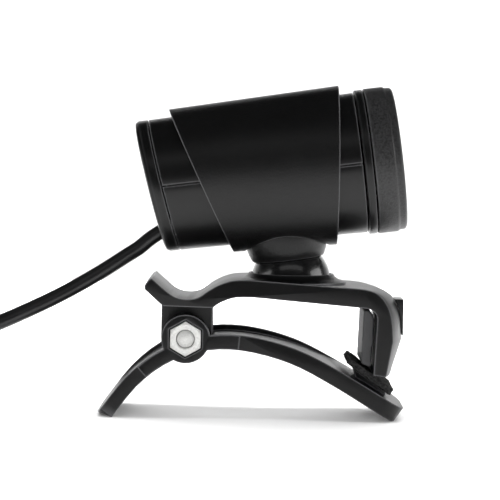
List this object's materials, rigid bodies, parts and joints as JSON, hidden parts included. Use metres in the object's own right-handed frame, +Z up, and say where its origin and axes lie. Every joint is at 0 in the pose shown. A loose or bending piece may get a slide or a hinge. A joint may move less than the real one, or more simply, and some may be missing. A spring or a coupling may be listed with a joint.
{
  "type": "webcam",
  "caption": "Black webcam with a barrel head and a turning focus ring, on a sprung clip stand, with its USB lead coiled and tied behind it.",
  "frame": {"origin": "on the table, under the middle of the stand's length and width", "axes": "+X towards the lens, +Z up, +Y to the webcam's left"},
  "size_m": [0.1595, 0.0624, 0.0776],
  "materials": {
    "soft_touch": "soft-touch, fine grain",
    "matte_shell": "satin",
    "gloss_trim": "gloss",
    "pad_foam": "dull",
    "steel": "satin",
    "glass": "coated",
    "circuit": "solder mask",
    "cord": "semi-gloss"
  },
  "bodies": {
    "stand": {"lower_leg": "matte_shell", "leg_pad": "pad_foam", "pivot_bolt": "steel", "hex_nut": "steel", "spring_sleeve": "steel", "torsion_spring": "steel"},
    "jaw": {"upper_jaw": "matte_shell", "hook_pad": "pad_foam", "hook_badge": "gloss_trim"},
    "swivel": {"swivel_dome": "gloss_trim", "swivel_retainer": "matte_shell"},
    "head": {"outer_sleeve": "soft_touch", "upper_shell": "matte_shell", "lower_shell": "matte_shell", "rear_cap": "matte_shell", "cord_grommet": "pad_foam", "inner_frame": "matte_shell", "main_board": "circuit", "board_screw_near": "steel", "board_screw_far": "steel", "image_sensor": "circuit", "ir_filter": "glass", "lens_holder": "matte_shell", "controller_chip": "circuit", "memory_chip": "circuit", "cord_header": "matte_shell", "microphone": "steel", "trim_ring": "matte_shell", "neck_collar": "soft_touch", "ball_stud": "steel", "stud_nut": "steel", "cord_lead": "cord", "cord_coil": "cord", "coil_tie": "matte_shell", "cord_tail": "cord", "plug_body": "matte_shell", "plug_shell": "steel", "plug_tongue": "matte_shell"},
    "focus": {"focus_ring": "matte_shell", "front_dish": "gloss_trim"},
    "lens": {"lens_barrel": "matte_shell", "front_lens": "glass", "rear_lens": "glass"}
  },
  "joints": [
    {"name": "clip_hinge", "type": "hinge", "parent": "stand", "child": "jaw", "pos_m": [-0.0153, 0, 0.0184], "axis": [0, -1, 0], "range_deg": [0, 30], "stiffness_Nm_per_rad": 0.1, "springref_deg": -34.38, "deforming": ["torsion_spring"]},
    {"name": "pan", "type": "hinge", "parent": "jaw", "child": "swivel", "pos_m": [0.0089, 0, 0.0315], "axis": [0, 0, 1], "range_deg": [-170, 170]},
    {"name": "tilt", "type": "hinge", "parent": "swivel", "child": "head", "pos_m": [0.0089, 0, 0.0315], "axis": [0, -1, 0], "range_deg": [-18, 10], "deforming": ["cord_lead"]},
    {"name": "focus_turn", "type": "hinge", "parent": "head", "child": "focus", "pos_m": [0.0054, 0, 0.05706], "axis": [0.9907, 0, 0.1357], "range_deg": [-160, 160]},
    {"name": "lens_travel", "type": "slide", "parent": "focus", "child": "lens", "axis": [0.9907, 0, 0.1357], "range_m": [-0.0003, 0.0003]}
  ],
  "couplings": [
    {"joint": "lens_travel", "follows": "focus_turn", "m_per_rad": 0.000079577}
  ]
}
